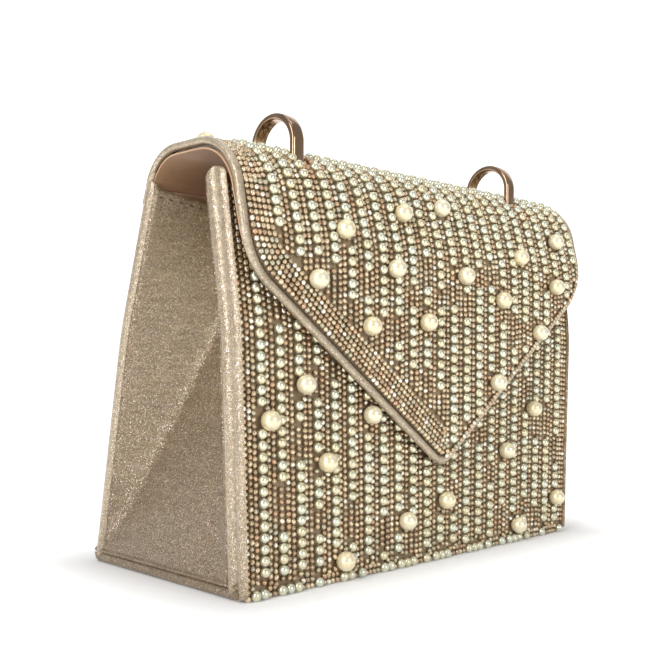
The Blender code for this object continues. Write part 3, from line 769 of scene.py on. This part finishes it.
def bead_flap():
    spots, balls, nodes = large_pearls("flap_pearl", FLAP, flap_length_at)
    for x, beyond in TOP_PEARLS:
        length = FLAP.lengths[BEADS_START] + beyond
        spots.append((x, length))
        y, z = FLAP.off(length, CLOTH_OUT + LARGE_PEARL)
        balls.append(((x, y, z), LARGE_PEARL, 0))
    panel = Panel("flap", FLAP, "flap", "flap_beadwork", 37, spots)
    panel.coppery = near_rings
    panel.sure_run = FLAP_SURE_RUN
    low, high = FLAP.lengths[BEADS_START] + SEED, FLAP.length
    columns = [*COLUMNS, COLUMNS[-1] + COLUMN_PITCH]
    rag = {column: panel.rng.uniform(0, EDGE_RAG) for column in columns}

    def keep_seed(x, length):
        margin = edge_rows(x)[-1] + EDGE_SEED_GAP
        return inside_flap(x, length) > margin and clear_of_rings(x, length, SEED_ROOM)

    def keep_pearl(x, length):
        ragged = rag[x] if length > FLAP_START and columns[1] < x < 0 else 0
        margin = edge_rows(x)[-1] + EDGE_PEARL_GAP + ragged
        return inside_flap(x, length) > margin and clear_of_rings(x, length, PEARL_ROOM)

    panel.fill(columns, straight, low, high, keep_pearl, keep_seed)
    for row in LEFT_EDGE_ROWS + RIGHT_EDGE_ROWS:
        edge = flap_outline(FLAP_INSET + row)
        places = [edge.at(length)[0] for length in edge.evenly(SEED_PITCH)]
        for place in [place for place in places if row in edge_rows(place.x)]:
            panel.seed(place.x, flap_length_at(place.y))
        for side in [side for side in (-1, 1) if row in edge_rows(side)]:
            end_row = side * (FLAP_WIDTH / 2 - FLAP_INSET - row)
            panel.seed_column(end_row, straight, low, FLAP_START - SEED, anywhere)
    panel.make(balls, nodes)


# Cloth under the beads, and the flap's lining


BACK_INSET = 2.5 * MM
BACK_OVERLAP = 0.2 * MM
SATIN_INSET = 1.2 * MM
FOLD_REACH = 6 * MM
FOLD_HALF_THICK = 0.1 * MM
FOLD_TUCK = (0.25 * MM, 0.35 * MM)

# Steps of the lining across the fold: along the board past the fold, and out of the board's face
FOLD_ON_BODY = ((-6, -3.25), (-0.1, -3.25), (0.12, -3.1), (0.15, 0.1))
FOLD_ON_FLAP = ((0.45, 0.1), (0.48, -2.0), (0.6, -2.1), (3.4, -2.1))

# Rows of a flap layer over the top and down its pointed front
LAYER_TOP_ROWS = 60
LAYER_POINT_ROWS = 80
LAYER_LEAST_STEP = 0.2 * MM
LAYER_LEAST_HALF = 1 * MM


def front_cloth():
    lengths = FRONT.evenly(4 * MM)
    halves = [half_width(FRONT.at(length)[0].y) - EDGE_LIP for length in lengths]
    mesh = loft("front_bead_cloth", sheet_loops(FRONT, lengths, halves, CLOTH_IN, CLOTH_OUT))
    add_object("front_bead_cloth", mesh, BEAD_CLOTH, "body")


def fold_ends(reach):
    """Points on the centre line before and after the fold."""
    before, after = REAR.at(REAR.length - reach)[0], FLAP.at(reach)[0]
    return [Vector((0, *before)), Vector((0, *after))]


def back_cloth():
    """The plain cloth of the back, which goes on over the fold up to the flap's beadwork."""
    lengths = BACK.evenly(1.5 * MM)
    flap_half = FLAP_WIDTH / 2 - FLAP_INSET + BACK_OVERLAP
    halves = []
    for length in lengths:
        beyond = clamp((length - REAR.length + FOLD_REACH) / FOLD_REACH)
        rear_half = half_width(BACK.at(length)[0].y) - BACK_INSET
        halves.append(rear_half + (flap_half - rear_half) * beyond)
    mesh = loft("back_cloth", sheet_loops(BACK, lengths, halves, COVER_IN, COVER_OUT))
    cloth = add_object("back_cloth", mesh, LAME, None)
    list(fold_ends(FOLD_REACH))
    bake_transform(cloth)
    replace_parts(cloth, "rear_cover", "flap_rear_cover")


def fold_lining():
    """The lining at the fold, tucked in between the boards to cover their ends."""
    points = [REAR.off(REAR.length + along * MM, level * MM) for along, level in FOLD_ON_BODY]
    points += [FLAP.off(along * MM, level * MM) for along, level in FOLD_ON_FLAP]
    fold = Path(points)
    lengths = sorted({*fold.lengths, *fold.evenly(0.5 * MM)})
    halves = [FLAP_WIDTH / 2 - PIPING_RADIUS] * len(lengths)
    mesh = loft("fold_lining", sheet_loops(fold, lengths, halves, -FOLD_HALF_THICK, FOLD_HALF_THICK))
    cloth = add_object("fold_lining", mesh, LINING, None)
    tuck = [Vector((0, *FLAP.at(length)[0])) for length in FOLD_TUCK]
    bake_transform(cloth)


def flap_layer(name, first, inset, inner, outer, material):
    edge = flap_outline(inset)
    last = flap_length_at(edge.points[0].y)
    lengths = [first + (last - first) * row / LAYER_TOP_ROWS for row in range(LAYER_TOP_ROWS)]
    halves = [FLAP_WIDTH / 2 - inset] * LAYER_TOP_ROWS
    for row in range(LAYER_POINT_ROWS):
        place = edge.at(edge.length / 2 * row / LAYER_POINT_ROWS)[0]
        length = flap_length_at(place.y)
        if length > lengths[-1] + LAYER_LEAST_STEP:
            lengths.append(length)
            halves.append(max(place.x, LAYER_LEAST_HALF))
    mesh = loft(name, sheet_loops(FLAP, lengths, halves, inner, outer))
    return add_object(name, mesh, material, "flap")


def make_cloths():
    front_cloth()
    back_cloth()
    fold_lining()
    first = FLAP.lengths[BEADS_START]
    flap_layer("flap_bead_cloth", first, FLAP_INSET, CLOTH_IN, CLOTH_OUT, BEAD_CLOTH)
    lining = flap_layer(
        "flap_satin", FOLD_REACH / 2, SATIN_INSET, FLAP_LINING_IN, FLAP_LINING_OUT, LINING
    )
    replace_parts(lining, "flap_lining")


def tube(route, section, side_on):
    """Loops along a route, with a section of steps to its side and up, which starts with the side given."""
    loops = []
    for index, place in enumerate(route):
        ahead = (route[min(index + 1, len(route) - 1)] - route[max(index - 1, 0)]).normalized()
        side_on = (side_on - ahead * side_on.dot(ahead)).normalized()
        up = ahead.cross(side_on)
        loops.append([place + side_on * a + up * b for a, b in section])
    return loops


def round_section(radius, sides, waist=0.0):
    """A circle of steps, which a waist draws in at its top and bottom into two strands."""
    section = []
    for side in range(sides):
        angle = 2 * math.pi * side / sides
        reach = radius * (1 - waist * (1 - abs(math.cos(angle))))
        section.append((reach * math.cos(angle), reach * math.sin(angle)))
    return section


PIPING_SIDES = 20
PIPING_WAIST = 0.2
PIPING_PITCH = 1.6 * MM
PIPING_ARCH_STEPS = 70
FOLD_PIPING_LEVEL = PIPING_TOP_LEVEL * 0.6
FOLD_PIPING_STEPS = 12


def piping_level(height):
    """The piping stands out over the top and sinks beside the beads down the front."""
    share = (height - FLAP_SHOULDER_HEIGHT) / FLAP_SHOULDER_RADIUS
    return PIPING_FRONT_LEVEL + (PIPING_TOP_LEVEL - PIPING_FRONT_LEVEL) * clamp(share)


def make_piping():
    outline = flap_outline(PIPING_RADIUS)
    edge = FLAP_WIDTH / 2 - PIPING_RADIUS
    first, last = HINGE_GAP, flap_length_at(outline.points[0].y)
    arch = [first + (last - first) * step / PIPING_ARCH_STEPS for step in range(PIPING_ARCH_STEPS)]
    route = [Vector((edge, *FLAP.off(length, PIPING_TOP_LEVEL))) for length in arch]
    for length in outline.evenly(PIPING_PITCH):
        place = outline.at(length)[0]
        route.append(Vector((place.x, *FLAP.off(flap_length_at(place.y), piping_level(place.y)))))
    route += [Vector((-edge, *FLAP.off(length, PIPING_TOP_LEVEL))) for length in reversed(arch)]
    section = round_section(PIPING_CORD, PIPING_SIDES, PIPING_WAIST)
    mesh = loft("piping", tube(route, section, Vector((1, 0, 0))))
    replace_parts(add_object("flap_cord_piping", mesh, PIPING_CLOTH, "flap"), "flap_piping")


def fold_piping(name, side):
    """The short length of piping that crosses the fold at one end."""
    x = side * (FLAP_WIDTH / 2 - PIPING_RADIUS)
    route = []
    for step in range(-FOLD_PIPING_STEPS, FOLD_PIPING_STEPS + 1):
        path, length = (REAR, REAR.length) if step < 0 else (FLAP, 0)
        along = length + FOLD_REACH * step / FOLD_PIPING_STEPS
        route.append(Vector((x, *path.off(along, FOLD_PIPING_LEVEL))))
    mesh = loft(name, tube(route, round_section(PIPING_CORD, PIPING_SIDES), Vector((1, 0, 0))))
    cord = add_object(name, mesh, PIPING_CLOTH, None)
    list(fold_ends(FOLD_REACH))
    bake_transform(cord)


# Bindings and gussets


ROLL_END = 3 * MM
ROLL_END_LEAST = 0.2
ROLL_WIDTH = 2.7 * MM
ROLL_FOOT = 1.2 * MM
FRONT_ROLL_RISE = 5.6 * MM
BASE_CORNER = 3.5 * MM
BASE_STEPS = 120
TOP_ROLL_HEIGHT = 4.0 * MM
TOP_ROLL_FOOT = 0.3 * MM
TOP_ROLL_INSET = 2 * MM
TOP_ROLL_WAVE = 0.15 * MM
TOP_ROLL_STEPS = 60
BASE_CLOTH_MARGINS = Vector((2.4, 3.0, 0)) * MM
BASE_CLOTH_EDGE = 0.5 * MM

# Section of the binding along a gusset's foot, in millimetres: in from its edge, and up
BASE_ROLL = (
    *((1.0, 0.2), (0.3, 0.6), (0, 1.4), (0, 2.4), (0.3, 3.2), (0.9, 3.6)),
    *((0.2, 4.1), (0.1, 4.9), (0.8, 5.5), (2.7, 5.5), (2.7, 0.2)),
)


def end_shrink(length, start, end, radius):
    """How far a section draws in near the ends of its run, so that they are round."""
    near = min(length - start, end - length, radius) / radius
    return max(math.sqrt(max(0.0, 1 - (1 - near) ** 2)), ROLL_END_LEAST)


def roll_section(inner, outer, bumps, lip):
    """A binding's section, as steps in from its edge and levels: rolled ridges and a thin lip in front."""
    count = 12 * bumps
    section = []
    for step in range(count + 1):
        ridge = abs(math.sin(math.pi * bumps * step / count)) ** 0.8
        section.append(((1 - ridge) * lip * 0.9, outer + (inner - outer) * step / count))
    return section + [(ROLL_WIDTH, inner), (ROLL_WIDTH, COVER_IN), (lip, COVER_IN), (lip, outer - 0.4 * MM)]


FRONT_ROLL = roll_section(-7 * MM, 3.2 * MM, 2, EDGE_LIP)
REAR_ROLL = roll_section(-4.6 * MM, 1.6 * MM, 1, 2.0 * MM)


def edge_roll(name, path, start, end, section, side, node):
    """An edge binding along a panel's path, on the left, -1, or the right, 1."""
    middle = [sum(values) / len(section) for values in zip(*section)]
    count = round((end - start) / (0.8 * MM))
    loops = []
    for length in [start + (end - start) * step / count for step in range(count + 1)]:
        edge = half_width(path.at(length)[0].y)
        shrink = end_shrink(length, start, end, ROLL_END)
        loop = []
        for point in section:
            inward, level = (m + (value - m) * shrink for m, value in zip(middle, point))
            loop.append((side * (edge - inward), *path.off(length, level)))
        loops.append(loop)
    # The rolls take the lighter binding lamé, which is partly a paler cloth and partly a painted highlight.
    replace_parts(add_object(name, loft(name, loops), BINDING_LAME_WITH_PAINTED_HIGHLIGHT, "body"), node)


def base_roll(name, side, node):
    """The binding along a gusset's foot."""
    section = [(a * MM, z * MM) for a, z in BASE_ROLL]
    front, rear = -FRONT_FOOT, REAR_FOOT
    loops = []
    for step in range(BASE_STEPS + 1):
        y = front + (rear - front) * step / BASE_STEPS
        near = min(y - front, rear - y, BASE_CORNER) / BASE_CORNER
        lift = BASE_CORNER * (1 - math.sqrt(1 - (1 - near) ** 2))
        loops.append([(side * (half_width(z) - a), y, max(z, lift)) for a, z in section])
    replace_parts(add_object(name, loft(name, loops), LAME, "body"), node)


def top_roll():
    """The rolled edge along the front panel's top."""
    top, foot = FRONT.points[0], FRONT.points[1]
    up = (top - foot).normalized()
    normal = FRONT.normals[0]
    radius = -BODY_LINING_IN / 2
    section = [(BODY_LINING_IN, TOP_ROLL_FOOT)]
    section += arc((-radius, TOP_ROLL_HEIGHT - radius), radius, math.pi, 0, 12)
    section.append((0, TOP_ROLL_FOOT))
    half = half_width(FRONT_TOP_HEIGHT) - TOP_ROLL_INSET
    loops = []
    for step in range(TOP_ROLL_STEPS + 1):
        x = -half + 2 * half * step / TOP_ROLL_STEPS
        wave = TOP_ROLL_WAVE * noise.noise(Vector((x * 120, 0, 0)))
        loops.append([(x, *(top + normal * level + up * (rise + wave))) for level, rise in section])
    roll = add_object("front_top_roll", loft("front_top_roll", loops), LAME, "body")
    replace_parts(roll, "front_top_binding")


def base_cloth():
    """The cloth under the base, with soft edges."""
    low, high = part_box("base_cover")
    size = high - low - BASE_CLOTH_MARGINS
    shape = bmesh.new()
    bmesh.ops.create_cube(shape, size=1, matrix=Matrix.LocRotScale((low + high) / 2, None, size))
    round_off = {"offset": BASE_CLOTH_EDGE, "segments": 3, "profile": 0.5}
    bmesh.ops.bevel(shape, geom=shape.edges, affect="EDGES", **round_off)
    mesh = bpy.data.meshes.new("base_cloth")
    shape.to_mesh(mesh)
    shape.free()
    mesh.shade_smooth()
    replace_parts(add_object("base_cloth", mesh, LAME, "body"), "base_cover")


def make_bindings():
    for name, side in (("left", -1), ("right", 1)):
        front_node, rear_node = f"front_{name}_binding", f"rear_{name}_binding"
        front_end, rear_end = FRONT.length + ROLL_FOOT, REAR.length + ROLL_END
        edge_roll(f"front_{name}_roll", FRONT, -FRONT_ROLL_RISE, front_end, FRONT_ROLL, side, front_node)
        edge_roll(f"rear_{name}_roll", REAR, -ROLL_FOOT, rear_end, REAR_ROLL, side, rear_node)
        fold_piping(f"{name}_fold_piping", side)
        base_roll(f"{name}_base_roll", side, f"{name}_base_binding")
    top_roll()
    base_cloth()


GUSSET_RECESS = 0.8 * MM
GUSSET_NODE = 105 * MM
GUSSET_NODE_FOLD = 28 * MM
GUSSET_TOP_FOLD = 37 * MM
GUSSET_CREASE_DROP = 10 * MM
GUSSET_TOP_STAND = 4.5 * MM
GUSSET_FRONT_LEVEL = -6.6 * MM
GUSSET_REAR_LEVEL = -4.2 * MM
GUSSET_FOOT_TUCK = 0.6 * MM
GUSSET_THICK = 0.9 * MM
GUSSET_RIPPLE = 0.35 * MM
GUSSET_SOFTEN_ROUNDS = 3
GUSSET_SOFTEN = 0.6
STITCH_RADIUS = 0.32 * MM
STITCH_SIDES = 8
STITCH_STAND = 0.5 * MM
STITCH_HALF = 0.5 * MM
GUSSET_ROWS = 90
GUSSET_STEPS = 44


def edge_y(path, height, level):
    """The Y of a path's level at a height."""
    points = sorted((path.off(length, level) for length in path.lengths), key=lambda point: point.y)
    return float(np.interp(height, [point.y for point in points], [point.x for point in points]))


def gusset_grid(foot, top, side):
    """Rows of points from the front edge to the rear one.

    The cloth folds in along a crease, which splits into two at a node and runs to the corners of the foot.
    """
    rows = []
    for row in range(GUSSET_ROWS + 1):
        height = foot + (top - foot) * row / GUSSET_ROWS
        ahead, behind = edge_y(FRONT, height, GUSSET_FRONT_LEVEL), edge_y(REAR, height, GUSSET_REAR_LEVEL)
        edge = half_width(height) - GUSSET_RECESS
        reach = min((height - foot) / (GUSSET_NODE - foot), 1)
        above = max((height - GUSSET_NODE) / (top - GUSSET_NODE), 0)
        depth = GUSSET_NODE_FOLD * reach + (GUSSET_TOP_FOLD - GUSSET_NODE_FOLD) * above
        points = []
        for step in range(GUSSET_STEPS + 1):
            t = step / GUSSET_STEPS
            folded = min(min(t, 1 - t) / max(0.5 * reach, 1e-3), 1)
            wave = noise.noise(Vector((t * 2.5, height * 260, side)))
            ripple = GUSSET_RIPPLE * wave * math.sin(math.pi * t)
            sag = GUSSET_CREASE_DROP * above**2 * folded
            x, y = side * (edge - depth * folded + ripple), ahead + (behind - ahead) * t
            points.append(Vector((x, y, height - sag)))
        rows.append(points)
    return soften(rows)


def make_gusset(name, side):
    low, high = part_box(name + "_gusset")
    rows = gusset_grid(low.z - GUSSET_FOOT_TUCK, high.z + GUSSET_TOP_STAND, side)
    mesh = loft(name + "_gusset_cloth", rows, closed_loop=False, caps=False)
    mesh.shade_smooth()
    cloth = add_object(name + "_gusset_cloth", mesh, LAME, "body")
    thick = cloth.modifiers.new("cloth thickness", "SOLIDIFY")
    thick.thickness = GUSSET_THICK
    thick.offset = 0.0
    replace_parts(cloth, name + "_gusset")
    stitch_row(name + "_gusset_stitches", rows[-3], rows[-4], side)


def stitch_row(name, points, below, side):
    """Thread that shows in short stitches along a row of points."""
    section = round_section(STITCH_RADIUS, STITCH_SIDES)
    vertices, faces = [], []
    for start, end, under in zip(points[2:-2:2], points[3:-1:2], below[2:-2:2]):
        along = (end - start).normalized()
        outward = along.cross(start - under).normalized()
        outward *= math.copysign(1, outward.x * side)
        middle = (start + end) / 2 + outward * STITCH_STAND
        loops = tube([middle - along * STITCH_HALF, middle, middle + along * STITCH_HALF], section, outward)
        faces += skin_faces(len(loops), STITCH_SIDES, STITCH_SIDES, len(vertices))
        vertices += [point for loop in loops for point in loop]
    add_object(name, mesh_from(name, vertices, faces), THREAD, "body")


def soften(rows):
    """Rounds off a grid's folds, with its border kept."""
    for _ in range(GUSSET_SOFTEN_ROUNDS):
        fresh = [[point.copy() for point in row] for row in rows]
        for above, row, below, new in zip(rows, rows[1:], rows[2:], fresh[1:]):
            for step in range(1, len(row) - 1):
                around = above[step] + below[step] + row[step - 1] + row[step + 1]
                new[step] = row[step].lerp(around / 4, GUSSET_SOFTEN)
        rows = fresh
    return rows


# Rings


def make_ring(name):
    low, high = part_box(name)
    middle, centre = (low.x + high.x) / 2, (low.y + high.y) / 2
    half_x, half_y = (high.x - low.x) / 2, (high.y - low.y) / 2 - RING_THICK / 2
    crown = high.z - RING_THICK / 2 - half_y
    foot = low.z + RING_THICK / 2 + RING_CORNER
    route = arc((centre, crown), half_y, 0, math.pi, 48)
    for side, turn in ((-1, math.pi), (1, 1.5 * math.pi)):
        corner = (centre + side * (half_y - RING_CORNER), foot)
        route += arc(corner, RING_CORNER, turn, turn + math.pi / 2, 8)
    path = Path([*route, route[0]])
    loops = []
    for place, normal in zip(path.points[:-1], path.normals[:-1]):
        loop = []
        for cosine, sine in round_section(1, 24):
            across = math.copysign(abs(cosine) ** RING_FLAT_ACROSS, cosine) * half_x
            out = math.copysign(abs(sine) ** RING_FLAT_OUT, sine) * RING_THICK / 2
            loop.append((middle + across, *(place + normal * out)))
        loops.append(loop)
    mesh = loft(name, [*loops, loops[0]], caps=False)
    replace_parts(add_object(name + "_band", mesh, GOLD, "flap"), name)


def dress_nodes():
    """The solids that show as they are get their cloth, board or metal."""
    slot_of = {part["node"]: part["material_slot"] for part in frame["record"]["subparts"]}
    looks = {"lame": LAME, "lining": LINING, "board": BOARD, "beads": BEAD_CLOTH}
    looks |= {"gold": GOLD, "magnet": NICKEL}
    for name, node in frame["nodes"].items():
        look = looks.get(slot_of[name], PEARLS[0])
        node.data.materials.clear()
        node.data.materials.append(look)


# Stage


CAMERA_PLACE = Vector((-290.3, -274.6, 78.5)) * MM
CAMERA_HEADING, CAMERA_LIFT, CAMERA_ROLL = (math.radians(angle) for angle in (44.43, 1.14, 0.37))
CAMERA_LENS, CAMERA_SHIFT = 52.72, (0.0142, 0.0189)
BACKDROP_GLOW = (0.10, 0.95)
BACKDROP_GLOW_REACH = 0.06
FOOTPRINT = (0.095, 0.043, 0)
FLOOR_PROFILE = ((-3.0, 0.0), (2.2, 0.0), (2.2, 3.0))
FLOOR_SWEEP = 0.8
FLOOR_HALF = 4.0
SKY_STRENGTH = 0.42
LAMP_TARGET = Vector((0, 0, 0.08))
LAMPS = (
    ("key", (-0.95, -0.22, 0.52), (0.40, 1.00), 7.6),
    ("front", (-0.04, -1.12, 0.40), (0.45, 0.45), 3.5),
    ("top", (0.15, -0.15, 1.2), (0.9, 0.7), 2.2),
)


def make_camera():
    data = bpy.data.cameras.new("camera")
    camera = link_object("camera", data)
    data.sensor_width = 36
    data.lens = CAMERA_LENS
    data.shift_x, data.shift_y = CAMERA_SHIFT
    data.clip_start = 0.01
    flat = math.cos(CAMERA_LIFT)
    x, y = math.sin(CAMERA_HEADING) * flat, math.cos(CAMERA_HEADING) * flat
    ahead = Vector((x, y, math.sin(CAMERA_LIFT)))
    right = ahead.cross(Vector((0, 0, 1))).normalized()
    up = right.cross(ahead)
    cosine, sine = math.cos(CAMERA_ROLL), math.sin(CAMERA_ROLL)
    right, up = right * cosine + up * sine, up * cosine - right * sine
    turn = Matrix((right, up, -ahead)).transposed().to_4x4()
    camera.matrix_world = Matrix.Translation(CAMERA_PLACE) @ turn
    bpy.context.scene.camera = camera


def make_lamp(name, place, size, power):
    data = bpy.data.lights.new(name, "AREA")
    data.shape = "RECTANGLE"
    data.size, data.size_y = size
    data.energy = power
    lamp = link_object(name, data)
    lamp.location = place
    lamp.rotation_euler = (LAMP_TARGET - Vector(place)).to_track_quat("-Z", "Y").to_euler()


def backdrop_material():
    """White where it is seen, directly or in a reflection, apart from the shadow that lies on it."""
    material, nodes, shader = new_material("white backdrop")
    set_inputs(shader, Base_Color=(0.80, 0.80, 0.80, 1), Roughness=0.9, Specular_IOR_Level=0.0)
    set_inputs(shader, Emission_Color=(1, 1, 1, 1))
    seen = nodes.new("ShaderNodeLightPath")
    first = add_node(nodes, "ShaderNodeMath", operation="MAXIMUM")
    second = add_node(nodes, "ShaderNodeMath", operation="MAXIMUM")
    glow = add_node(nodes, "ShaderNodeMath", operation="MULTIPLY")
    where = nodes.new("ShaderNodeNewGeometry")
    mirrored = add_node(nodes, "ShaderNodeVectorMath", operation="ABSOLUTE")
    outside = add_node(nodes, "ShaderNodeVectorMath", operation="SUBTRACT")
    outside.inputs[1].default_value = FOOTPRINT
    beyond = add_node(nodes, "ShaderNodeVectorMath", operation="MAXIMUM")
    away = add_node(nodes, "ShaderNodeVectorMath", operation="LENGTH")
    fade = add_node(nodes, "ShaderNodeMapRange", From_Max=BACKDROP_GLOW_REACH)
    set_inputs(fade, To_Min=BACKDROP_GLOW[0], To_Max=BACKDROP_GLOW[1])
    connect(
        material,
        (where, "Position", mirrored, 0),
        (mirrored, "Vector", outside, 0),
        (outside, "Vector", beyond, 0),
        (beyond, "Vector", away, 0),
        (away, "Value", fade, "Value"),
        (seen, "Is Camera Ray", first, 0),
        (seen, "Is Glossy Ray", first, 1),
        (first, "Value", second, 0),
        (seen, "Is Transmission Ray", second, 1),
        (second, "Value", glow, 0),
        (fade, "Result", glow, 1),
        (glow, "Value", shader, "Emission Strength"),
    )
    return material


def make_stage():
    """A floor that sweeps up into a wall behind the bag."""
    profile = rounded_path(FLOOR_PROFILE, [FLOOR_SWEEP])
    loops = [[(-FLOOR_HALF, *point), (FLOOR_HALF, *point)] for point in profile]
    mesh = loft("backdrop", loops, closed_loop=False, caps=False)
    mesh.materials.append(backdrop_material())
    floor = link_object("backdrop", mesh)
    floor.rotation_euler.z = -CAMERA_HEADING
    floor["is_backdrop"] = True

    world = bpy.data.worlds.new("studio")
    world.use_nodes = True
    bpy.context.scene.world = world
    sky = world.node_tree.nodes["Background"]
    set_inputs(sky, Color=(1, 1, 1, 1), Strength=SKY_STRENGTH)
    for lamp in LAMPS:
        make_lamp(*lamp)


def main():
    bpy.context.scene.view_settings.view_transform = "Standard"
    for leftover in [o for o in bpy.data.objects if o.type in ("CAMERA", "LIGHT")]:
        bpy.data.objects.remove(leftover)
    dress_nodes()
    bead_front()
    bead_flap()
    make_cloths()
    make_piping()
    make_bindings()
    make_gusset("left", -1)
    make_gusset("right", 1)
    make_ring("left_ring")
    make_ring("right_ring")
    make_camera()
    make_stage()


main()
boxes = (("cad", CAD_BOX), ("visual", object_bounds()))
{name: [list(corner) for corner in box] for name, box in boxes}
